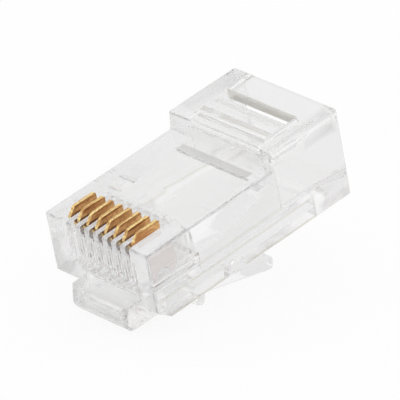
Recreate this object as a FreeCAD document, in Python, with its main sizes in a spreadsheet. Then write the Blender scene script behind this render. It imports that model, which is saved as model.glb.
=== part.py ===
import FreeCAD, Part

import math
import os

import Sketcher
from FreeCAD import Placement, Rotation, Vector

# Eight-way modular plug, before it is crimped to a cable. Millimetres.
# X runs across the plug, Y from the front face to the cable entry, Z up from
# the underside of the guide rails. The origin is on the front face's plane,
# in the middle of the plug, level with the rails.
SIZES = {
    # Housing, outside
    "body_width": 11.68,
    "body_length": 21.46,
    "front_height": 6.35,
    "rear_height": 7.95,
    "step_place": 13.72,
    "step_lean": 0.22,
    "corner_round": 0.28,
    "roof_round": 0.34,
    # Underside: two guide rails with the latch's recess between them
    "rail_height": 0.97,
    "rail_lead": 1.3,
    "recess_width": 6.8,
    "recess_end": 18.4,
    "relief_radius": 0.98,
    "relief_place": 8.57,
    "relief_depth": 1.2,
    # Nose that carries the latch's root
    "nose_side_gap": 0.25,
    "nose_reach": 1.0,
    "nose_lean": 0.26,
    "nose_drop": 1.55,
    "nose_round": 0.55,
    "nose_side_round": 0.45,
    # Latch
    "hinge_place": 2.3,
    "hinge_drop": 0.88,
    "hinge_gap": 0.06,
    "arm_thickness": 1.0,
    "latch_angle": 14.8,
    "ear_start": 3.4,
    "ear_middle": 0.78,
    "ear_length": 1.55,
    "ear_depth": 0.46,
    "ear_round": 0.3,
    "handle_offset": 0.665,
    "handle_width": 3.25,
    "handle_end": 14.25,
    "handle_round": 0.3,
    "handle_corner": 0.55,
    "handle_soft": 0.25,
    # Contacts and their slots
    "contact_count": 8,
    "contact_pitch": 1.02,
    "contact_thickness": 0.30,
    "contact_front": 0.57,
    "contact_length": 2.93,
    "contact_proud": 0.65,
    "contact_height": 4.15,
    "contact_lead": 0.65,
    "contact_lead_drop": 0.75,
    "contact_undercut": 0.30,
    "undercut_drop": 0.50,
    "tine_height": 1.0,
    "tine_root": 1.01,
    "tine_tip": 0.40,
    "arch_width": 0.71,
    "arch_drop": 0.25,
    "heel_height": 0.35,
    "heel_bulge": 0.24,
    "heel_rise": 0.85,
    "slot_width": 0.50,
    "slot_depth": 1.15,
    "groove_depth": 0.28,
    "groove_drop": 3.2,
    "slit_gap": 0.02,
    "slit_skin": 0.62,
    "slit_end": 5.5,
    "slit_round": 0.9,
    "end_gap": 0.05,
    # Wire channels and the funnel that leads into them
    "channel_bore": 0.94,
    "channel_axis": 2.30,
    "channel_front": 0.72,
    "channel_end": 5.7,
    "funnel_width": 8.3,
    "funnel_throat": 0.40,
    "funnel_ramp_end": 8.6,
    "funnel_top_start": 12.6,
    "funnel_brow": 0.7,
    "funnel_height": 3.2,
    # Room for the cable's jacket, and its flared mouth
    "floor_wall": 0.68,
    "roof_wall": 1.05,
    "step_wall": 0.68,
    "room_width": 8.9,
    "room_round": 0.8,
    "mouth_width": 10.4,
    "mouth_sill": 0.95,
    "mouth_lip": 0.70,
    "mouth_round": 1.8,
    "mouth_depth": 3.6,
    "mouth_middle_depth": 1.6,
    "mouth_swell": 0.2,
    # Strain relief bar in its window
    "window_width": 7.8,
    "window_front": 15.1,
    "window_end": 18.85,
    "bar_end": 17.65,
    "bar_gap": 0.10,
    "bar_sink": 0.06,
    "bar_knuckle": 0.42,
    "bar_height": 1.5,
    "bar_slope": 1.1,
    "bar_round": 0.3,
}


def measure(**parts):
    """A length added up from named sizes: the sheet's expression and its value."""
    text = " + ".join(f"({factor}) * Sizes.{name}" for name, factor in parts.items())
    return text or "0", sum(factor * SIZES[name] for name, factor in parts.items())


def make_sheet(doc):
    sheet = doc.addObject("Spreadsheet::Sheet", "Sizes")
    for row, (name, value) in enumerate(SIZES.items(), start=1):
        sheet.set(f"A{row}", name)
        sheet.set(f"B{row}", str(value))
        sheet.setAlias(f"B{row}", name)
    doc.recompute()
    return sheet


def origin_part(body, role):
    return next(item for item in body.Origin.OriginFeatures if item.Role == role)


def start_body(doc, label):
    body = doc.addObject("PartDesign::Body", label)
    body.Label = label
    return body


def start_sketch(body, name, role, lift=None):
    """A sketch on one of the body's own planes, or lifted off it along its normal."""
    sketch = body.newObject("Sketcher::SketchObject", name)
    sketch.AttachmentSupport = [(origin_part(body, role), "")]
    sketch.MapMode = "FlatFace"
    if lift:
        sketch.setExpression("AttachmentOffset.Base.z", lift[0])
    return sketch


def hold(sketch, kind, geometry, point, length):
    """Hold one coordinate of a point at a named length from the sketch's origin."""
    index = sketch.addConstraint(
        Sketcher.Constraint(kind, -1, 1, geometry, point, length[1])
    )
    sketch.setExpression(f"Constraints[{index}]", length[0])


def corner_arc(before, corner, after, radius):
    """The arc that rounds a corner, and whether it runs against the outline."""
    back = (before - corner).normalize()
    ahead = (after - corner).normalize()
    half = back.getAngle(ahead) / 2
    start = corner + back * (radius / math.tan(half))
    end = corner + ahead * (radius / math.tan(half))
    centre = corner + (back + ahead).normalize() * (radius / math.sin(half))
    middle = centre + (corner - centre).normalize() * radius
    arc = Part.Arc(start, middle, end).toShape().Curve
    turned = back.cross(ahead).z > 0
    first, last = (end, start) if turned else (start, end)
    circle = Part.Circle(centre, Vector(0, 0, 1), arc.Radius)
    return Part.ArcOfCircle(circle, circle.parameter(first), circle.parameter(last)), turned


def outline(sketch, corners):
    """A closed outline. A corner is (across, up) or, to be rounded, (across, up, radius)."""
    count = len(corners)
    points = [Vector(corner[0][1], corner[1][1], 0) for corner in corners]
    arcs = {}
    for index, corner in enumerate(corners):
        if len(corner) == 3:
            after = points[(index + 1) % count]
            arcs[index] = corner_arc(points[index - 1], points[index], after, corner[2][1])
    ends = []
    for index, point in enumerate(points):
        if index in arcs:
            arc, turned = arcs[index]
            pair = (arc.StartPoint, arc.EndPoint)
            ends.append(pair[::-1] if turned else pair)
        else:
            ends.append((point, point))
    for index in range(count):
        sketch.addGeometry(Part.LineSegment(ends[index][1], ends[(index + 1) % count][0]))
    for index, corner in enumerate(corners):
        line_in, line_out = (index - 1) % count, index
        if index not in arcs:
            sketch.addConstraint(Sketcher.Constraint("Coincident", line_in, 2, line_out, 1))
            hold(sketch, "DistanceX", line_out, 1, corner[0])
            hold(sketch, "DistanceY", line_out, 1, corner[1])
            continue
        arc, turned = arcs[index]
        rounding = sketch.addGeometry(arc)
        first, last = (2, 1) if turned else (1, 2)
        sketch.addConstraint(Sketcher.Constraint("Tangent", line_in, 2, rounding, first))
        sketch.addConstraint(Sketcher.Constraint("Tangent", line_out, 1, rounding, last))
        tip = sketch.addGeometry(Part.Point(points[index]), True)
        sketch.addConstraint(Sketcher.Constraint("PointOnObject", tip, 1, line_in))
        sketch.addConstraint(Sketcher.Constraint("PointOnObject", tip, 1, line_out))
        hold(sketch, "DistanceX", tip, 1, corner[0])
        hold(sketch, "DistanceY", tip, 1, corner[1])
        radius = sketch.addConstraint(Sketcher.Constraint("Radius", rounding, corner[2][1]))
        sketch.setExpression(f"Constraints[{radius}]", corner[2][0])


def circle(sketch, across, up, radius):
    centre = Vector(across[1], up[1], 0)
    ring = sketch.addGeometry(Part.Circle(centre, Vector(0, 0, 1), radius[1]))
    hold(sketch, "DistanceX", ring, 3, across)
    hold(sketch, "DistanceY", ring, 3, up)
    index = sketch.addConstraint(Sketcher.Constraint("Radius", ring, radius[1]))
    sketch.setExpression(f"Constraints[{index}]", radius[0])


def extrude(body, kind, sketch, length, side="Symmetric", turned=False):
    """Pad or pocket a sketch, and see that it really adds or removes material."""
    before = body.Tip.Shape.Volume if body.Tip and body.Tip != sketch else 0
    feature = body.newObject(f"PartDesign::{kind}", sketch.Name.replace("outline", kind.lower()))
    feature.Profile = sketch
    feature.SideType = side
    feature.Reversed = turned
    feature.setExpression("Length", length[0])
    body.Document.recompute()
    change = feature.Shape.Volume - before
    if change * (1 if kind == "Pad" else -1) < 1e-6:
        raise RuntimeError(f"{feature.Name} leaves the solid as it was")
    return feature


def side_feature(body, kind, name, width, corners, lift=None):
    """A side view drawn on the middle plane, extruded both ways to its width."""
    sketch = start_sketch(body, f"{name}_outline", "YZ_Plane", lift)
    outline(sketch, corners)
    return extrude(body, kind, sketch, width)


def rounded_box(sketch, width, low, high, radius):
    half = (f"({width[0]}) / 2", width[1] / 2)
    minus = (f"-({width[0]}) / 2", -width[1] / 2)
    outline(
        sketch,
        [(minus, low, radius), (half, low, radius), (half, high, radius), (minus, high, radius)],
    )


def edges_on_sides(shape, reach, above, below=math.inf):
    """Names of the edges that lie in the two side faces, between two heights."""
    names = []
    for number, edge in enumerate(shape.Edges, start=1):
        box = edge.BoundBox
        on_side = box.XLength < 1e-6 and abs(abs(box.XMin) - reach) < 1e-6
        if on_side and box.ZMax > above + 1e-6 and box.ZMin < below - 1e-6:
            names.append(f"Edge{number}")
    return names


def edges_at_end(shape, end, upright):
    """Names of the edges in the end face: the upright ones, or the ones across."""
    names = []
    for number, edge in enumerate(shape.Edges, start=1):
        box = edge.BoundBox
        at_end = box.YLength < 1e-6 and abs(box.YMax - end) < 1e-6
        if at_end and (box.XLength < 1e-6) == upright:
            names.append(f"Edge{number}")
    return names


def soften(body, base, name, edges, radius):
    """Round edges of a feature to a named radius."""
    fillet = body.newObject("PartDesign::Fillet", name)
    fillet.Base = (base, edges)
    fillet.setExpression("Radius", f"Sizes.{radius}")
    body.Document.recompute()
    return fillet


def housing_block(body):
    """The outer block: low in front, stepped up behind, with bevelled rail ends."""
    zero = measure()
    front_top = measure(front_height=1)
    rear_top = measure(rear_height=1)
    rounding = measure(corner_round=1)
    length = measure(body_length=1)
    block = side_feature(
        body,
        "Pad",
        "block",
        measure(body_width=1),
        [
            (zero, measure(rail_height=1)),
            (measure(rail_lead=1), zero),
            (length, zero),
            (length, rear_top, rounding),
            (measure(step_place=1, step_lean=1), rear_top, rounding),
            (measure(step_place=1), front_top),
            (zero, front_top, rounding),
        ],
    )
    half = SIZES["body_width"] / 2
    raised = edges_on_sides(block.Shape, half, SIZES["front_height"])
    soften(body, block, "roof_rounding", raised, "roof_round")
    low = edges_on_sides(body.Tip.Shape, half, SIZES["rail_height"], SIZES["front_height"])
    soften(body, body.Tip, "side_rounding", low, "corner_round")


def housing_underside(body):
    """The latch's recess between the rails, and a half-round relief in each rail."""
    inside = measure(rail_height=1)
    side_feature(
        body,
        "Pocket",
        "recess",
        measure(recess_width=1),
        [
            (measure(rail_lead=-1), measure(rail_height=-1)),
            (measure(recess_end=1), measure(rail_height=-1)),
            (measure(recess_end=1), inside),
            (measure(rail_lead=-1), inside),
        ],
    )
    relief = start_sketch(body, "relief_outline", "YZ_Plane", measure(body_width=0.5))
    circle(relief, measure(relief_place=1), measure(), measure(relief_radius=1))
    cut = extrude(body, "Pocket", relief, measure(relief_depth=1), "One side")
    mirror = body.newObject("PartDesign::Mirrored", "relief_mirrored")
    mirror.Originals = [cut]
    mirror.MirrorPlane = (origin_part(body, "YZ_Plane"), [""])
    body.Tip = mirror
    body.Document.recompute()


def housing_nose(body):
    """The nose under the front face, with the round seat for the latch's root."""
    inside = measure(rail_height=1)
    bottom = measure(nose_drop=-1)
    root_top = measure(rail_height=1, floor_wall=0.5)
    rounding = measure(nose_round=1)
    width = measure(recess_width=1, nose_side_gap=-2)
    nose = side_feature(
        body,
        "Pad",
        "nose",
        width,
        [
            (measure(nose_reach=-1), inside),
            (measure(nose_reach=-1, nose_lean=-1), measure(nose_round=-1), rounding),
            (measure(nose_round=-1), bottom, rounding),
            (measure(hinge_place=1), bottom),
            (measure(hinge_place=1), root_top),
            (measure(corner_round=1), root_top),
            (measure(corner_round=1), inside),
        ],
    )
    names = edges_on_sides(nose.Shape, width[1] / 2, -math.inf, SIZES["rail_height"])
    soften(body, nose, "nose_rounding", names, "nose_side_round")
    seat = start_sketch(body, "hinge_seat_outline", "YZ_Plane")
    seat_radius = measure(arm_thickness=0.5, hinge_gap=1)
    circle(seat, measure(hinge_place=1), measure(hinge_drop=-1), seat_radius)
    extrude(body, "Pocket", seat, measure(recess_width=1))


def housing_inside(body):
    """The jacket room with its flared mouth, and the funnel down to the channels."""
    rear = measure(body_length=-1)
    room = start_sketch(body, "room_outline", "XZ_Plane", rear)
    room_width = measure(room_width=1)
    floor = measure(rail_height=1, floor_wall=1)
    roof = measure(rear_height=1, roof_wall=-1)
    rounded_box(room, room_width, floor, roof, measure(room_round=1))
    room_front = {"step_place": 1, "step_lean": 1, "step_wall": 1}
    depth = measure(body_length=1, step_place=-1, step_lean=-1, step_wall=-1)
    extrude(body, "Pocket", room, depth, "One side", True)
    funnel_top = measure(rail_height=1, floor_wall=1, funnel_height=1)
    brow = measure(rail_height=1, floor_wall=1, funnel_height=1, funnel_brow=-1)
    throat = measure(channel_axis=1, channel_bore=0.5, funnel_throat=1)
    side_feature(
        body,
        "Pocket",
        "funnel",
        measure(funnel_width=1),
        [
            (measure(channel_end=1), floor),
            (measure(**room_front, room_round=1), floor),
            (measure(**room_front, room_round=1), funnel_top),
            (measure(funnel_top_start=1), funnel_top),
            (measure(funnel_top_start=1), brow),
            (measure(funnel_ramp_end=1), throat),
            (measure(channel_end=1), throat),
        ],
    )
    housing_mouth(body)


def housing_mouth(body):
    """The mouth's flare, which closes fast at first and then runs into the room."""
    outer = start_sketch(body, "mouth_outer_outline", "XZ_Plane", measure(body_length=-1))
    lip = measure(rear_height=1, mouth_lip=-1)
    rounded_box(outer, measure(mouth_width=1), measure(mouth_sill=1), lip, measure(mouth_round=1))
    sections = []
    for name, depth, swell in (("middle", "mouth_middle_depth", 1), ("inner", "mouth_depth", 0)):
        lift = measure(**{"body_length": -1, depth: 1})
        section = start_sketch(body, f"mouth_{name}_outline", "XZ_Plane", lift)
        rounded_box(
            section,
            measure(room_width=1, mouth_swell=2 * swell),
            measure(rail_height=1, floor_wall=1, mouth_swell=-swell),
            measure(rear_height=1, roof_wall=-1, mouth_swell=swell),
            measure(room_round=1, mouth_swell=swell),
        )
        sections.append(section)
    flare = body.newObject("PartDesign::SubtractiveLoft", "mouth_flare")
    flare.Profile = outer
    flare.Sections = sections
    body.Document.recompute()


def housing_window(body):
    """The opening in the roof that the strain relief bar sits in."""
    above = measure(rear_height=1, roof_wall=1)
    below = measure(rear_height=1, roof_wall=-1, corner_round=-1)
    front = measure(window_front=1)
    end = measure(window_end=1)
    side_feature(
        body,
        "Pocket",
        "window",
        measure(window_width=1),
        [(front, below), (end, below), (end, above), (front, above)],
    )


def housing_slots(body):
    """One contact's slot, slit and wire channel, repeated across the plug."""
    first = measure(contact_pitch=-(SIZES["contact_count"] - 1) / 2)
    above = measure(front_height=1, contact_proud=1)
    back = measure(contact_front=1, contact_length=1, end_gap=1)
    shelf = measure(front_height=1, slot_depth=-1)
    outside = measure(contact_front=-1)
    groove = measure(groove_depth=1)
    groove_end = measure(front_height=1, groove_drop=-1)
    slot = side_feature(
        body,
        "Pocket",
        "slot",
        measure(slot_width=1),
        [
            (outside, above),
            (outside, groove_end),
            (groove, groove_end),
            (groove, shelf),
            (back, shelf),
            (back, above),
        ],
        first,
    )
    axis = measure(channel_axis=1)
    slit_front = measure(contact_front=1, end_gap=-1)
    slit_under = measure(contact_front=1, contact_undercut=1, end_gap=-1)
    slit_top = measure(front_height=1, slit_skin=-1)
    slit = side_feature(
        body,
        "Pocket",
        "slit",
        measure(contact_thickness=1, slit_gap=2),
        [
            (slit_under, axis),
            (measure(slit_end=1), axis),
            (measure(slit_end=1), slit_top, measure(slit_round=1)),
            (slit_front, slit_top),
            (slit_front, shelf),
            (slit_under, measure(front_height=1, slot_depth=-1, undercut_drop=-1)),
        ],
        first,
    )
    ring = start_sketch(body, "channel_outline", "XZ_Plane", measure(channel_end=-1))
    circle(ring, first, axis, measure(channel_bore=0.5))
    depth = measure(channel_end=1, channel_front=-1)
    channel = extrude(body, "Pocket", ring, depth, "One side", True)
    row = body.newObject("PartDesign::LinearPattern", "contact_row")
    row.Originals = [slot, slit, channel]
    row.Direction = (origin_part(body, "X_Axis"), [""])
    row.setExpression("Length", "(Sizes.contact_count - 1) * Sizes.contact_pitch")
    row.setExpression("Occurrences", "Sizes.contact_count")
    body.Tip = row
    body.Document.recompute()


def make_housing(doc):
    body = start_body(doc, "housing")
    housing_block(body)
    housing_underside(body)
    housing_nose(body)
    housing_inside(body)
    housing_window(body)
    housing_slots(body)
    return body


def make_latch(doc):
    """The latch, drawn straight along Y from its hinge, then hung at its angle."""
    body = start_body(doc, "latch")
    zero = measure()
    half = measure(arm_thickness=0.5)
    under = measure(arm_thickness=-0.5)
    width = measure(recess_width=1, nose_side_gap=-2)
    root = start_sketch(body, "root_outline", "YZ_Plane")
    circle(root, zero, zero, half)
    extrude(body, "Pad", root, width)
    ear_end = measure(ear_start=1, ear_length=1)
    ear_under = measure(arm_thickness=-0.5, handle_offset=-1)
    side_feature(
        body,
        "Pad",
        "arm",
        width,
        [
            (zero, under),
            (measure(ear_start=1), under),
            (measure(ear_start=1, ear_middle=1), measure(arm_thickness=-0.5, ear_depth=-1)),
            (ear_end, ear_under, measure(ear_round=1)),
            (ear_end, measure(handle_round=1)),
            (measure(ear_start=1, ear_length=1, handle_round=-1), half),
            (zero, half),
        ],
    )
    end = measure(handle_end=1)
    top = measure(arm_thickness=0.5, handle_offset=-1)
    handle = side_feature(
        body,
        "Pad",
        "handle",
        measure(handle_width=1),
        [
            (measure(ear_start=1, ear_middle=1), top),
            (measure(ear_start=1, ear_middle=1), measure(arm_thickness=-0.5, ear_depth=-1)),
            (ear_end, ear_under),
            (end, ear_under),
            (end, top),
            (measure(ear_start=1, ear_length=1, handle_offset=1), top, measure(handle_round=1)),
            (measure(ear_start=1, ear_length=1, handle_round=-1), half),
            (measure(ear_start=1, ear_middle=1), half),
        ],
    )
    corners = edges_at_end(handle.Shape, end[1], upright=True)
    soften(body, handle, "handle_corners", corners, "handle_corner")
    rims = edges_at_end(body.Tip.Shape, end[1], upright=False)
    soften(body, body.Tip, "handle_rims", rims, "handle_soft")
    down = Vector(-1, 0, 0)
    body.Placement = Placement(Vector(0, 0, 0), Rotation(down, SIZES["latch_angle"]))
    body.setExpression("Placement.Rotation.Angle", "Sizes.latch_angle")
    body.setExpression("Placement.Base.y", "Sizes.hinge_place")
    body.setExpression("Placement.Base.z", measure(hinge_drop=-1)[0])
    return body


def make_bar(doc):
    """The strain relief bar, drawn from its knuckle's axis."""
    body = start_body(doc, "strain_relief_bar")
    zero = measure()
    knuckle = measure(bar_knuckle=1)
    width = measure(window_width=1, bar_gap=-2)
    ring = start_sketch(body, "knuckle_outline", "YZ_Plane")
    circle(ring, zero, zero, knuckle)
    extrude(body, "Pad", ring, width)
    end = measure(bar_end=1, window_front=-1, bar_gap=-0.5, bar_knuckle=-1)
    bottom = measure(bar_knuckle=1, bar_height=-1)
    rounding = measure(bar_round=1)
    side_feature(
        body,
        "Pad",
        "bar",
        width,
        [
            (zero, knuckle),
            (zero, measure(bar_knuckle=-1)),
            (measure(bar_slope=1), bottom, rounding),
            (end, bottom, rounding),
            (end, knuckle),
        ],
    )
    axis_place = measure(window_front=1, bar_gap=0.5, bar_knuckle=1)
    body.setExpression("Placement.Base.y", axis_place[0])
    body.setExpression("Placement.Base.z", measure(rear_height=1, bar_sink=-1, bar_knuckle=-1)[0])
    return body


def make_contact(doc, number):
    """One gold-plated blade: a bevelled top edge and two pointed tines below."""
    body = start_body(doc, f"contact_{number}")
    front = {"contact_front": 1, "contact_undercut": 1}
    arch = {**front, "tine_root": 1, "arch_width": 1}
    back = measure(contact_front=1, contact_length=1)
    heel = measure(contact_front=1, contact_length=1, heel_bulge=1)
    top = measure(front_height=1, contact_proud=1)
    nose = {"front_height": 1, "contact_proud": 1, "contact_lead_drop": -1}
    tip = {"front_height": 1, "contact_proud": 1, "contact_height": -1}
    tips = measure(**tip)
    legs = measure(**tip, tine_height=1)
    side_feature(
        body,
        "Pad",
        "blade",
        measure(contact_thickness=1),
        [
            (measure(contact_front=1, contact_lead=1), top, measure(contact_lead=0.5)),
            (measure(contact_front=1), measure(**nose), measure(contact_thickness=0.5)),
            (measure(**front), measure(**nose, undercut_drop=-1)),
            (measure(**front), legs),
            (measure(**front, tine_tip=1), tips),
            (measure(**front, tine_root=1), legs),
            (measure(**arch), measure(**tip, tine_height=1, arch_drop=-1)),
            (measure(**arch, tine_tip=1), tips),
            (back, measure(**tip, heel_height=1)),
            (heel, measure(**tip, heel_height=1, heel_rise=1)),
            (back, measure(**tip, heel_height=1, heel_rise=2)),
            (back, top, measure(contact_thickness=0.5)),
        ],
    )
    place = number - (SIZES["contact_count"] + 1) / 2
    body.setExpression("Placement.Base.x", f"({place}) * Sizes.contact_pitch")
    return body


def check(doc, bodies):
    for item in doc.Objects:
        if "Invalid" in item.State or "Error" in item.State:
            raise RuntimeError(f"{item.Label} is {item.State}")
    for body in bodies:
        if body.Shape.isNull() or not body.Shape.isValid() or len(body.Shape.Solids) != 1:
            raise RuntimeError(f"{body.Label} isn't one valid solid")


def main():
    doc = FreeCAD.newDocument("modular_plug")
    make_sheet(doc)
    bodies = [make_housing(doc), make_latch(doc), make_bar(doc)]
    bodies += [make_contact(doc, number) for number in range(1, SIZES["contact_count"] + 1)]
    doc.recompute()
    check(doc, bodies)
    os.makedirs("parts", exist_ok=True)
    for body in bodies:
        body.Shape.exportStep(f"parts/{body.Label}.step")
        box = body.Shape.BoundBox
        print(body.Label, round(body.Shape.Volume, 3), [round(v, 2) for v in (
            box.XMin, box.XMax, box.YMin, box.YMax, box.ZMin, box.ZMax)])


main()
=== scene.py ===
import math
from collections import namedtuple

import bmesh
import bpy
from bpy.props import FloatProperty, FloatVectorProperty, IntProperty, PointerProperty
from mathutils import Matrix, Vector


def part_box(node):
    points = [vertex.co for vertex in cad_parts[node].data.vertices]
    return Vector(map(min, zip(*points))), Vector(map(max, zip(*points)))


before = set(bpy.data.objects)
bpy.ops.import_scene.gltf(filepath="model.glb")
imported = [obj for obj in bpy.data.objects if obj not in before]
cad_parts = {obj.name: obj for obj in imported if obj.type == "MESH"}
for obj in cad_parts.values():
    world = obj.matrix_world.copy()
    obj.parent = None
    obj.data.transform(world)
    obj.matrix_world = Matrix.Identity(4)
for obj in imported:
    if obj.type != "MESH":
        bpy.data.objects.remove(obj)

bl_info = {
    "name": "Modular plug looks",
    "version": (1, 0, 0),
    "blender": (4, 5, 0),
    "location": "3D View > Sidebar > Plug",
    "description": "Clear moulded plastic, plated contacts and a studio for an eight-way modular plug",
    "category": "Object",
}

MM = 0.001
WHITE = (1.0, 1.0, 1.0, 1.0)
SMALL_MOULDINGS = ("latch", "strain_relief_bar")
CONTACTS = tuple(name for name in sorted(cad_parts) if name.startswith("contact_"))

# Kinds of socket, and where the Mix node has its sockets for colours
FLOAT, VECTOR, COLOUR = "NodeSocketFloat", "NodeSocketVector", "NodeSocketColor"
MIX_FACTOR, MIX_FIRST, MIX_SECOND, MIX_RESULT = 0, 6, 7, 2


# Node helpers

class NodeSheet:
    """Adds nodes to one tree, with their values, and joins them."""

    def __init__(self, tree):
        self.tree = tree

    def feed(self, node, inputs):
        """Joins each given socket to the node's input of that name, or sets the input's plain value."""
        for name, value in inputs.items():
            if isinstance(value, bpy.types.NodeSocket):
                self.tree.links.new(value, node.inputs[name])
            else:
                node.inputs[name].default_value = value

    def add(self, kind, inputs=None, **settings):
        node = self.tree.nodes.new(kind)
        for name, value in settings.items():
            setattr(node, name, value)
        self.feed(node, inputs or {})
        return node

    def group(self, tree, inputs):
        return self.add("ShaderNodeGroup", inputs, node_tree=tree).outputs

    def math(self, operation, *values):
        return self.add("ShaderNodeMath", dict(enumerate(values)), operation=operation).outputs[0]

    def least(self, first, *others):
        least = first
        for value in others:
            least = self.math("MINIMUM", least, value)
        return least

    def vector_math(self, operation, *values):
        return self.add("ShaderNodeVectorMath", dict(enumerate(values)), operation=operation).outputs[0]

    def millimetres(self, vector):
        return self.add("ShaderNodeVectorMath", {0: vector, "Scale": 1 / MM}, operation="SCALE").outputs[0]

    def split(self, vector):
        return self.add("ShaderNodeSeparateXYZ", {0: vector}).outputs

    def join(self, x, y, z):
        return self.add("ShaderNodeCombineXYZ", {"X": x, "Y": y, "Z": z}).outputs[0]

    def stretch(self, vector, scale, turn=(0.0, 0.0, 0.0)):
        inputs = {"Vector": vector, "Rotation": turn, "Scale": scale}
        return self.add("ShaderNodeMapping", inputs).outputs[0]

    def noise(self, vector, scale, detail, roughness=0.5):
        inputs = {"Vector": vector, "Scale": scale, "Detail": detail, "Roughness": roughness}
        return self.add("ShaderNodeTexNoise", inputs).outputs["Fac"]

    def spread(self, value, low, high, new_low=0.0, new_high=1.0):
        """Maps low..high onto new_low..new_high, and holds the ends beyond them."""
        names = ("Value", "From Min", "From Max", "To Min", "To Max")
        values = (value, low, high, new_low, new_high)
        return self.add("ShaderNodeMapRange", dict(zip(names, values))).outputs["Result"]

    def bump(self, height, strength, distance):
        inputs = {"Height": height, "Strength": strength, "Distance": distance}
        return self.add("ShaderNodeBump", inputs).outputs[0]

    def mix_colour(self, factor, first, second):
        inputs = {MIX_FACTOR: factor, MIX_FIRST: first, MIX_SECOND: second}
        return self.add("ShaderNodeMix", inputs, data_type="RGBA").outputs[MIX_RESULT]

    def mix_shader(self, factor, first, second):
        return self.add("ShaderNodeMixShader", {0: factor, 1: first, 2: second}).outputs[0]


def shader_group(name, inputs, outputs):
    """Turns a function that fills a shader group into one that makes the group once and returns it."""
    def wrap(fill):
        def make():
            if name in bpy.data.node_groups:
                return bpy.data.node_groups[name]
            tree = bpy.data.node_groups.new(name, "ShaderNodeTree")
            for label, kind in inputs.items():
                tree.interface.new_socket(label, in_out="INPUT", socket_type=kind)
            for label, kind in outputs.items():
                tree.interface.new_socket(label, in_out="OUTPUT", socket_type=kind)
            sheet = NodeSheet(tree)
            given = sheet.add("NodeGroupInput").outputs
            sheet.add("NodeGroupOutput", fill(sheet, given))
            return tree
        return make
    return wrap


def new_material(name):
    """A material with only its Principled shader and output, and a sheet to add to it."""
    material = bpy.data.materials.new(name)
    material.use_nodes = True
    return material, NodeSheet(material.node_tree), material.node_tree.nodes["Principled BSDF"]


def opaque(shade):
    return (*shade, 1.0)


def dress(node, material):
    """Gives a CAD node its material, leaving its mesh and place alone."""
    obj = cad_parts[node]
    obj.data.materials.clear()
    obj.data.materials.append(material)


# Shader groups

@shader_group(
    "Mould finish",
    inputs={"Vector": VECTOR, "Wave Size": FLOAT, "Grain Size": FLOAT, "Polish": FLOAT, "Wear": FLOAT},
    outputs={"Height": FLOAT, "Roughness": FLOAT},
)
def mould_finish(sheet, given):
    """Moulded surface: slow flow waves, a fine mould grain and a little handling wear, in millimetres."""
    grain_height = 0.006
    scratch_turn = (0.2, 0.5, 0.6)
    scratch_stretch = (9.0, 0.5, 9.0)
    scratch_start, scratch_full = 0.60, 0.72

    position = sheet.millimetres(given["Vector"])
    waves = sheet.noise(position, sheet.math("DIVIDE", 1.0, given["Wave Size"]), detail=1.5, roughness=0.4)
    grain = sheet.noise(position, sheet.math("DIVIDE", 1.0, given["Grain Size"]), detail=2.0)
    scratches = sheet.noise(sheet.stretch(position, scratch_stretch, scratch_turn), 1.0, detail=3.0)
    worn = sheet.spread(scratches, scratch_start, scratch_full)
    patchy = sheet.math("MULTIPLY", grain, given["Polish"])
    polish = sheet.math("ADD", given["Polish"], patchy)
    return {
        "Height": sheet.math("MULTIPLY_ADD", grain, grain_height, waves),
        "Roughness": sheet.math("ADD", polish, sheet.math("MULTIPLY", worn, given["Wear"])),
    }


@shader_group(
    "Cavity mask",
    inputs={
        "Vector": VECTOR, "Half Width": FLOAT, "Length": FLOAT, "Low Top": FLOAT, "High Top": FLOAT,
        "Step": FLOAT, "Floor": FLOAT, "Skin": FLOAT,
    },
    outputs={"Inside": FLOAT},
)
def cavity_mask(sheet, given):
    """One on the walls of the slots, channels and room within the stepped block, nought outside it."""
    position = sheet.split(given["Vector"])
    behind = sheet.math("GREATER_THAN", position["Y"], given["Step"])
    rise = sheet.math("SUBTRACT", given["High Top"], given["Low Top"])
    top = sheet.math("MULTIPLY_ADD", behind, rise, given["Low Top"])
    depth = sheet.least(
        sheet.math("SUBTRACT", given["Half Width"], sheet.math("ABSOLUTE", position["X"])),
        position["Y"],
        sheet.math("SUBTRACT", given["Length"], position["Y"]),
        sheet.math("SUBTRACT", position["Z"], given["Floor"]),
        sheet.math("SUBTRACT", top, position["Z"]),
    )
    return {"Inside": sheet.math("GREATER_THAN", depth, given["Skin"])}


@shader_group(
    "Band mask",
    inputs={"Vector": VECTOR, "Low": VECTOR, "High": VECTOR, "Softness": FLOAT},
    outputs={"Inside": FLOAT},
)
def band_mask(sheet, given):
    """One within a block, given by two corners, and within its mirror image in X, nought elsewhere."""
    position = sheet.split(given["Vector"])
    folded = sheet.join(sheet.math("ABSOLUTE", position["X"]), position["Y"], position["Z"])
    over = sheet.vector_math("SUBTRACT", folded, given["Low"])
    under = sheet.vector_math("SUBTRACT", given["High"], folded)
    depths = sheet.split(sheet.vector_math("MINIMUM", over, under))
    depth = sheet.least(depths["X"], depths["Y"], depths["Z"])
    return {"Inside": sheet.spread(depth, 0.0, given["Softness"])}


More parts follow.
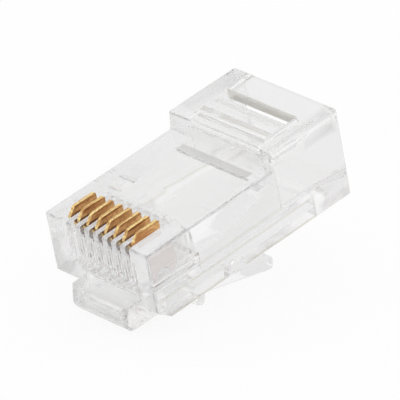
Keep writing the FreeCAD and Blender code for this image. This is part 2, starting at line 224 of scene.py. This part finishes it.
@shader_group(
    "Stamped finish and painted light",
    inputs={
        "Vector": VECTOR, "Normal": VECTOR, "Plating": COLOUR, "Flat": COLOUR, "Deep": COLOUR,
        "Strip": COLOUR, "Plated Above": FLOAT, "Top": FLOAT,
    },
    outputs={"Color": COLOUR, "Roughness": FLOAT, "Height": FLOAT},
)
def stamped_finish_and_painted_light(sheet, given):
    """Stamped strip: bright plating on the rolled edges, and drawn, duller metal on the cut flats, whose
    deeper orange gold is a painted reflection of the neighbouring blades. The drawn lines and spots are
    real marks, but they and a band just under the top edge darken towards the Deep colour, a redder gold
    that is painted shade of light bouncing between the blades.
    """
    flat_start, flat_full = 0.55, 0.85
    line_stretch = (6.0, 0.35, 5.0)
    line_low, line_high, line_darkest = 0.42, 0.50, 0.30
    spot_scale = 5.0
    spot_low, spot_high, spot_darkest = 0.40, 0.54, 0.50
    # A band on the flats just under the top edge, darkened towards the painted shade colour
    band_under_top_foot, band_under_top_head, band_under_top_darkest = 0.22, 0.06, 0.5
    plating_ragged, plating_fade = 0.3, 0.4
    gloss_low, gloss_high = 0.3, 0.7
    rough_low, rough_high, rough_on_flats = 0.16, 0.30, 0.10

    position = sheet.millimetres(given["Vector"])
    height = sheet.split(position)["Z"]
    sideways = sheet.math("ABSOLUTE", sheet.split(given["Normal"])["X"])
    flat = sheet.spread(sideways, flat_start, flat_full)
    lines = sheet.noise(sheet.stretch(position, line_stretch), 1.0, detail=4.0)
    spots = sheet.noise(position, spot_scale, detail=3.0)

    streak = sheet.spread(lines, line_low, line_high, line_darkest, 1.0)
    fleck = sheet.spread(spots, spot_low, spot_high, spot_darkest, 1.0)
    under_edge = sheet.spread(sheet.math("SUBTRACT", given["Top"], height), band_under_top_foot, band_under_top_head)
    band_under_top = sheet.spread(sheet.math("MULTIPLY", flat, under_edge), 0.0, 1.0, 1.0, band_under_top_darkest)
    shade = sheet.math("MULTIPLY", sheet.math("MULTIPLY", streak, fleck), band_under_top)
    # The flats are painted a deeper orange than the rolled edges, as a painted reflection of the
    # neighbouring blades
    bright = sheet.mix_colour(flat, given["Plating"], given["Flat"])
    # Where the lines, the spots and the band under the top are dark, the gold turns towards the Deep
    # colour, which is painted shade
    gold = sheet.mix_colour(shade, given["Deep"], bright)

    above = sheet.math("SUBTRACT", height, given["Plated Above"])
    plated = sheet.spread(sheet.math("MULTIPLY_ADD", lines, plating_ragged, above), 0.0, plating_fade)
    drawn = sheet.spread(lines, gloss_low, gloss_high, rough_low, rough_high)
    return {
        "Color": sheet.mix_colour(plated, given["Strip"], gold),
        "Roughness": sheet.math("MULTIPLY_ADD", flat, rough_on_flats, drawn),
        "Height": lines,
    }


# Materials

# A block of the housing: its corners, its fade, its colour (painted shade everywhere but on the nose) and
# its haze
Place = namedtuple("Place", "low high fade shade haze")


def painted_shade_and_haze_places(settings):
    """The places of the housing that are painted darker, as painted shade, or are hazier than the rest,
    each a block with its looks.
    """
    low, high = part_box("housing")
    near = settings.window_skin
    wall = high.y - settings.window_wall
    brow = high.y - settings.brow
    rail = settings.rail_top
    band = settings.rail_band
    # The mask folds the left side onto the right, so a block across the middle starts well left of it
    left = -high.x
    # Painted shade: the rear wall of the window is tinted a dark beige grey for the shaded inside seen
    # through it. Its haze is the frosting
    rear_wall_of_window = Place(
        low=Vector((left, wall - near, high.z - settings.window_depth)),
        high=Vector((settings.window_half, wall + near, high.z)),
        fade=near / 2, shade=settings.window_painted_shade, haze=settings.window_haze,
    )
    # Painted shade: the ceiling just behind the brow is tinted grey for the darker surroundings that it
    # refracts
    ceiling_behind_brow = Place(
        low=Vector((left, brow, settings.brow_height - near)),
        high=Vector((settings.brow_half, brow + settings.brow_band, settings.brow_height + near)),
        fade=near / 2, shade=settings.brow_painted_shade, haze=settings.window_haze,
    )
    nose = Place(
        low=Vector((left, low.y - settings.nose_fade, low.z - settings.nose_fade)),
        high=Vector((high.x, settings.nose_back, rail)),
        fade=settings.nose_fade, shade=settings.tint, haze=settings.nose_haze,
    )
    # Painted shade: the rear foot is tinted a pinkish grey, darker than the clear plastic round it
    rear_foot = Place(
        low=Vector((settings.rail_side, high.y - settings.foot_length, -settings.foot_fade)),
        high=Vector((high.x + settings.foot_fade, high.y + settings.foot_fade, rail)),
        fade=settings.foot_fade, shade=settings.foot_painted_shade, haze=0.0,
    )
    # Painted shade: the corner of the mouth is tinted dark grey for the darker view refracted through it
    corner_of_mouth = Place(
        low=Vector((settings.corner_side, high.y - settings.corner_length, high.z - settings.corner_drop)),
        high=high,
        fade=settings.corner_fade, shade=settings.corner_painted_shade, haze=0.0,
    )
    # Painted shadow: the inner edge of each rail is tinted olive grey for the shadow under the plug seen
    # through it
    inner_edge_of_rail = Place(
        low=Vector((settings.rail_side, low.y, rail - band)),
        high=Vector((settings.rail_side + 2 * band, high.y, rail + band)),
        fade=band / 4, shade=settings.rail_painted_shade, haze=0.0,
    )
    return rear_wall_of_window, ceiling_behind_brow, nose, rear_foot, corner_of_mouth, inner_edge_of_rail


def clear_plastic(settings, name, places=()):
    """Water-clear polycarbonate as it leaves the mould, hazier where the mould's cores formed it, with
    painted shade mixed into its colour at the given places.
    """
    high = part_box("housing")[1]
    material, sheet, shader = new_material(name)
    position = sheet.add("ShaderNodeTexCoord").outputs["Object"]
    finish = sheet.group(mould_finish(), {
        "Vector": position,
        "Wave Size": settings.wave_size / MM,
        "Grain Size": settings.grain_size / MM,
        "Polish": settings.polish,
        "Wear": settings.wear,
    })
    cavity = sheet.group(cavity_mask(), {
        "Vector": position,
        "Half Width": high.x,
        "Length": high.y,
        "Low Top": settings.front_top,
        "High Top": high.z,
        "Step": settings.roof_step,
        "Floor": settings.rail_top,
        "Skin": settings.skin,
    })
    rough = sheet.math("MULTIPLY_ADD", cavity["Inside"], settings.inner_haze, finish["Roughness"])
    tint = opaque(settings.tint)
    # Each place adds its haze to the roughness and mixes its colour into the tint. That colour is painted
    # shade, except on the nose, which keeps the plain tint
    for place in places:
        block = {"Vector": position, "Low": place.low, "High": place.high, "Softness": place.fade}
        inside = sheet.group(band_mask(), block)["Inside"]
        rough = sheet.math("MULTIPLY_ADD", inside, place.haze, rough)
        tint = sheet.mix_colour(inside, tint, opaque(place.shade))
    sheet.feed(shader, {
        "Base Color": tint,
        "Metallic": 0.0,
        "Roughness": rough,
        "IOR": settings.refraction,
        "Transmission Weight": settings.clearness,
        "Normal": sheet.bump(finish["Height"], 1.0, settings.waviness),
    })
    return material


def plated_metal(settings):
    """Phosphor bronze strip, nickel-plated, with gold on the upper part of each blade."""
    material, sheet, shader = new_material("plated_contact")
    position = sheet.add("ShaderNodeTexCoord").outputs
    # The stamped finish's colour holds painted shade and a painted reflection
    finish = sheet.group(stamped_finish_and_painted_light(), {
        "Vector": position["Object"],
        "Normal": position["Normal"],
        "Plating": opaque(settings.plating),
        "Flat": opaque(settings.flat),
        "Deep": opaque(settings.deep),
        "Strip": opaque(settings.strip),
        "Plated Above": settings.plated_above / MM,
        "Top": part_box(CONTACTS[0])[1].z / MM,
    })
    sheet.feed(shader, {
        "Base Color": finish["Color"],
        "Metallic": 1.0,
        "Roughness": finish["Roughness"],
        "Normal": sheet.bump(finish["Height"], settings.line_strength, settings.line_depth),
    })
    return material


def white_card(settings):
    """Matt white card: nearly white straight on, where it keeps a trace of the shadow, open from below."""
    material = bpy.data.materials.new("white_card")
    material.use_nodes = True
    material.node_tree.nodes.clear()
    sheet = NodeSheet(material.node_tree)
    path = sheet.add("ShaderNodeLightPath").outputs
    from_plastic = sheet.math("MAXIMUM", path["Is Glossy Ray"], path["Is Transmission Ray"])
    below = sheet.add("ShaderNodeNewGeometry").outputs["Backfacing"]

    card = sheet.add("ShaderNodeBsdfDiffuse", {"Color": opaque(settings.floor_colour)}).outputs[0]
    white = sheet.add("ShaderNodeEmission", {"Color": WHITE, "Strength": 1.0}).outputs[0]
    grey = sheet.add("ShaderNodeEmission", {"Color": WHITE, "Strength": settings.seen_through}).outputs[0]
    gone = sheet.add("ShaderNodeBsdfTransparent").outputs[0]

    straight = sheet.mix_shader(settings.shadow, white, card)
    through = sheet.mix_shader(settings.shadow_through, grey, card)
    bounced = sheet.mix_shader(from_plastic, card, through)
    seen = sheet.mix_shader(path["Is Camera Ray"], bounced, straight)
    sheet.add("ShaderNodeOutputMaterial", {"Surface": sheet.mix_shader(below, seen, gone)})
    return material


# Stage

def pale_room(settings):
    """A room that is pure white straight on, and a soft grey, lighter above, for light and gloss."""
    foot, head = -0.2, 0.9
    world = bpy.data.worlds.new("pale room")
    bpy.context.scene.world = world
    world.use_nodes = True
    world.node_tree.nodes.clear()
    sheet = NodeSheet(world.node_tree)
    height = sheet.split(sheet.add("ShaderNodeTexCoord").outputs["Generated"])["Z"]
    level = sheet.spread(height, foot, head, settings.room_low, settings.room_high)
    room = sheet.add("ShaderNodeBackground", {"Color": WHITE, "Strength": level}).outputs[0]
    straight = sheet.add("ShaderNodeBackground", {"Color": WHITE, "Strength": 1.0}).outputs[0]
    from_camera = sheet.add("ShaderNodeLightPath").outputs["Is Camera Ray"]
    sheet.add("ShaderNodeOutputWorld", {"Surface": sheet.mix_shader(from_camera, room, straight)})


def lay_floor(settings):
    """A card under the plug, leant as the plug lies on its nose and the end of its latch."""
    sides = 64
    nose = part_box("housing")[0]
    latch_low, latch_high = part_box("latch")
    lean = math.atan2(latch_low.z - nose.z, latch_high.y - nose.y)
    mesh = bpy.data.meshes.new("floor")
    form = bmesh.new()
    bmesh.ops.create_circle(form, cap_ends=True, segments=sides, radius=settings.floor_radius)
    bmesh.ops.rotate(form, verts=form.verts, matrix=Matrix.Rotation(lean, 3, "X"))
    bmesh.ops.translate(form, verts=form.verts, vec=(0.0, nose.y, nose.z - settings.floor_gap))
    form.to_mesh(mesh)
    form.free()
    mesh.materials.append(white_card(settings))
    floor = bpy.data.objects.new("floor", mesh)
    bpy.context.collection.objects.link(floor)


def look_frame(azimuth, elevation, roll):
    """Right, up and back vectors of a camera round the object; back points from the object to it."""
    back = Vector((
        math.sin(azimuth) * math.cos(elevation),
        -math.cos(azimuth) * math.cos(elevation),
        math.sin(elevation),
    ))
    level = Vector((0.0, 0.0, 1.0)).cross(back).normalized()
    right = level * math.cos(roll) + back.cross(level) * math.sin(roll)
    return right, back.cross(right), back


def place_camera(settings):
    right, up, back = look_frame(settings.azimuth, settings.elevation, settings.roll)
    aim = Vector(settings.aim) + right * settings.aim_right + up * settings.aim_up
    turn = Matrix((right, up, back)).transposed().to_4x4()
    data = bpy.data.cameras.new("view")
    data.sensor_width = settings.sensor
    data.lens = settings.lens
    data.clip_start = settings.clip_near
    data.clip_end = settings.clip_far
    camera = bpy.data.objects.new("view", data)
    camera.matrix_world = Matrix.Translation(aim + back * settings.distance) @ turn
    bpy.context.collection.objects.link(camera)
    bpy.context.scene.camera = camera


def soft_lamp(settings):
    place = Vector(settings.lamp)
    data = bpy.data.lights.new("key", "AREA")
    data.shape = "SQUARE"
    data.size = settings.lamp_size
    data.energy = settings.lamp_power
    lamp = bpy.data.objects.new("key", data)
    lamp.location = place
    lamp.rotation_mode = "QUATERNION"
    lamp.rotation_quaternion = (Vector(settings.aim) - place).to_track_quat("-Z", "Y")
    bpy.context.collection.objects.link(lamp)


# Settings: lengths are in metres

def number(name, description, default, unit="NONE"):
    return FloatProperty(name=name, description=description, default=default, unit=unit, precision=3)


def length(name, description, default):
    return FloatProperty(name=name, description=description, default=default, unit="LENGTH", precision=5)


def share(name, description, default):
    return FloatProperty(
        name=name, description=description, default=default, subtype="FACTOR", min=0.0, max=1.0)


def angle(name, description, degrees):
    return FloatProperty(
        name=name, description=description, default=math.radians(degrees), subtype="ANGLE")


def point(name, description, default):
    return FloatVectorProperty(
        name=name, description=description, default=default, size=3, subtype="XYZ", unit="LENGTH")


def colour(name, description, default):
    return FloatVectorProperty(
        name=name, description=description, default=default, size=3, subtype="COLOR", min=0.0, max=1.0)


class PlasticSettings(bpy.types.PropertyGroup):
    tint: colour("Tint", "Colour that the clear plastic gives to light", (0.995, 0.995, 0.993))
    refraction: number("Refraction", "Index of refraction of polycarbonate", 1.585)
    clearness: share("Clearness", "Share of light that passes straight", 0.995)
    polish: share("Polish", "Lowest roughness of the moulded surface", 0.055)
    inner_haze: share("Inner haze", "Roughness that the cores leave inside", 0.04)
    wear: share("Wear", "Roughness that handling marks add", 0.10)
    waviness: length("Waviness", "Depth of the slow waves", 0.00005)
    wave_size: length("Wave size", "Width of the slow waves", 0.003)
    grain_size: length("Grain size", "Width of the mould's grain", 0.00012)

    front_top: length("Front top", "Height of the roof over the front", 0.00635)
    roof_step: length("Roof step", "Where the raised roof starts, just behind its face", 0.0139)
    skin: length("Skin", "How deep within the block a wall counts as inside", 0.00008)

    window_wall: length("Window wall", "Rear wall of the window, before the rear end", 0.00261)
    window_half: length("Window half width", "From the middle to the side of the window", 0.0040)
    window_depth: length("Window depth", "How far the frosted wall goes down", 0.0012)
    window_skin: length("Window skin", "How near the wall the plastic is frosted", 0.00012)
    # Painted shade on the window's rear wall, not a colour of the frosting
    window_painted_shade: colour("Window shade", "Colour that the frosted wall gives to light", (0.68, 0.65, 0.58))
    window_haze: share("Window haze", "Roughness of the frosted wall", 0.20)

    brow: length("Brow", "Step in the ceiling of the funnel, before the rear end", 0.00886)
    brow_half: length("Brow half width", "From the middle to the side of the funnel there", 0.00395)
    brow_height: length("Brow height", "Height of the ceiling behind that step", 0.00485)
    brow_band: length("Brow band", "How far the ceiling is darker behind that step", 0.0008)
    # Painted shade on the ceiling behind the brow
    brow_painted_shade: colour("Brow shade", "Colour that the ceiling gives to light there", (0.76, 0.75, 0.74))

    nose_back: length("Nose back", "Where the haze of the nose ends, behind the front face", 0.0006)
    nose_fade: length("Nose fade", "Over how far the haze of the nose fades", 0.0004)
    nose_haze: share("Nose haze", "Roughness added on the nose", 0.13)

    foot_length: length("Foot length", "How far in the housing's rear foot is darker", 0.0034)
    foot_fade: length("Foot fade", "Over how far the darker foot fades", 0.0003)
    # Painted shade on the rear foot
    foot_painted_shade: colour("Foot shade", "Colour that the rear foot gives to light", (0.84, 0.82, 0.82))

    corner_side: length("Corner side", "Where the mouth's dark corner starts, from the middle", 0.0042)
    corner_length: length("Corner length", "How far the mouth's dark corner goes in", 0.0036)
    corner_drop: length("Corner drop", "How far the mouth's dark corner goes down", 0.0023)
    corner_fade: length("Corner fade", "Over how far the mouth's dark corner fades", 0.0010)
    # Painted shade on the corner of the mouth
    corner_painted_shade: colour("Corner shade", "Colour that the dark corner gives to light", (0.40, 0.40, 0.39))

    rail_side: length("Rail side", "Where a rail's shaded inner wall starts, from the middle", 0.0031)
    rail_top: length("Rail top", "Height of the ceiling between the rails", 0.00097)
    rail_band: length("Rail band", "How far the shade goes round that edge", 0.00024)
    # Painted shadow on the inner edge of each rail
    rail_painted_shade: colour("Rail shade", "Colour that a rail's inner edge gives to light", (0.78, 0.76, 0.68))


class ContactSettings(bpy.types.PropertyGroup):
    plating: colour("Plating", "Colour of the gold on the rolled edges", (1.0, 0.80, 0.36))
    # Painted reflection: the flats' deeper orange stands in for the neighbouring blades seen in them
    flat: colour("Flats", "Colour of the cut sides of each blade", (1.0, 0.60, 0.26))
    # Painted shade: a darker, redder gold where the lines, the spots and the band under the top are dark
    deep: colour("Deep", "Colour of the gold in the drawn lines", (0.44, 0.16, 0.05))
    strip: colour("Strip", "Colour of the nickel-plated strip below the gold", (0.95, 0.89, 0.88))
    plated_above: length("Plated above", "Height over which the blades are gold", 0.0053)
    line_strength: share("Line strength", "How strongly the drawn lines catch the light", 0.6)
    line_depth: length("Line depth", "Depth of the drawn lines", 0.00001)


class StudioSettings(bpy.types.PropertyGroup):
    azimuth: angle("Azimuth", "How far round the camera stands", 51.456)
    elevation: angle("Elevation", "How high the camera stands", 32.830)
    roll: angle("Roll", "How far the camera leans", -10.788)
    distance: length("Distance", "From the aim to the camera", 0.44875)
    lens: number("Lens", "Focal length, in millimetres", 514.2, unit="CAMERA")
    sensor: number("Sensor", "Width of the camera's sensor, in millimetres", 36.0, unit="CAMERA")
    clip_near: length("Near clip", "Nearest distance that the camera shows", 0.01)
    clip_far: length("Far clip", "Farthest distance that the camera shows", 20.0)
    aim: point("Aim", "Point that the camera turns round", (0.0, 0.010, 0.003))
    aim_right: length("Aim right", "Shift of the aim to the right", 0.00055)
    aim_up: length("Aim up", "Shift of the aim upwards", 0.00061)

    lamp: point("Lamp", "Place of the soft lamp", (-0.10, -0.05, 0.40))
    lamp_size: length("Lamp size", "Side of the square lamp", 0.40)
    lamp_power: number("Lamp power", "Power of the lamp, in watts", 0.07, unit="POWER")
    room_low: share("Low room light", "Light from the walls", 0.90)
    room_high: share("High room light", "Light from above", 0.98)

    floor_colour: colour("Floor", "Colour of the card", (0.90, 0.90, 0.90))
    floor_radius: length("Floor radius", "Half the card's width", 0.6)
    floor_gap: length("Floor gap", "Room between the card and the plug", 0.00002)
    shadow: share("Shadow", "Share of the shadow that the card shows", 0.08)
    seen_through: share("Seen through", "Brightness of the card in the plastic", 0.85)
    shadow_through: share("Shadow through", "Share of the shadow that shows in the plastic", 0.15)
    bounces: IntProperty(
        name="Bounces", description="How often light turns inside the plastic", default=32, min=4)


# Operators

class ClearMouldings(bpy.types.Operator):
    """Finish the housing, the latch and the strain relief bar in clear plastic"""
    bl_idname = "plug.clear_mouldings"
    bl_label = "Clear mouldings"

    def execute(self, context):
        settings = context.scene.plug_plastic
        dress("housing", clear_plastic(settings, "clear_polycarbonate", painted_shade_and_haze_places(settings)))
        plain = clear_plastic(settings, "clear_polycarbonate_plain")
        for node in SMALL_MOULDINGS:
            dress(node, plain)
        return {"FINISHED"}


class PlatedContacts(bpy.types.Operator):
    """Finish the eight contact blades in plated metal"""
    bl_idname = "plug.plated_contacts"
    bl_label = "Plated contacts"

    def execute(self, context):
        material = plated_metal(context.scene.plug_contacts)
        for node in CONTACTS:
            dress(node, material)
        return {"FINISHED"}


class Studio(bpy.types.Operator):
    """Set up the pale room, the floor, the camera and the soft lamp"""
    bl_idname = "plug.studio"
    bl_label = "Studio"

    def execute(self, context):
        settings = context.scene.plug_studio
        context.scene.view_settings.view_transform = "Standard"
        context.scene.cycles.max_bounces = settings.bounces
        context.scene.cycles.transmission_bounces = settings.bounces
        context.scene.cycles.glossy_bounces = settings.bounces
        pale_room(settings)
        lay_floor(settings)
        place_camera(settings)
        soft_lamp(settings)
        return {"FINISHED"}


STEPS = (
    ("plug_plastic", PlasticSettings, ClearMouldings),
    ("plug_contacts", ContactSettings, PlatedContacts),
    ("plug_studio", StudioSettings, Studio),
)


class PlugPanel(bpy.types.Panel):
    """Lists the plug's steps and their settings"""
    bl_idname = "VIEW3D_PT_modular_plug"
    bl_label = "Modular plug"
    bl_space_type = "VIEW_3D"
    bl_region_type = "UI"
    bl_category = "Plug"

    def draw(self, context):
        for pointer, settings, operator in STEPS:
            box = self.layout.box()
            for name in settings.__annotations__:
                box.prop(getattr(context.scene, pointer), name)
            box.operator(operator.bl_idname)


CLASSES = (
    *(settings for _, settings, _ in STEPS),
    *(operator for _, _, operator in STEPS),
    PlugPanel,
)


def register():
    for kind in CLASSES:
        bpy.utils.register_class(kind)
    for pointer, settings, _ in STEPS:
        setattr(bpy.types.Scene, pointer, PointerProperty(type=settings))


def unregister():
    for pointer, _, _ in reversed(STEPS):
        delattr(bpy.types.Scene, pointer)
    for kind in reversed(CLASSES):
        bpy.utils.unregister_class(kind)


def main():
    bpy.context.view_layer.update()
    register()
    bpy.ops.plug.clear_mouldings()
    bpy.ops.plug.plated_contacts()
    bpy.ops.plug.studio()


if __name__ == "__main__":
    main()
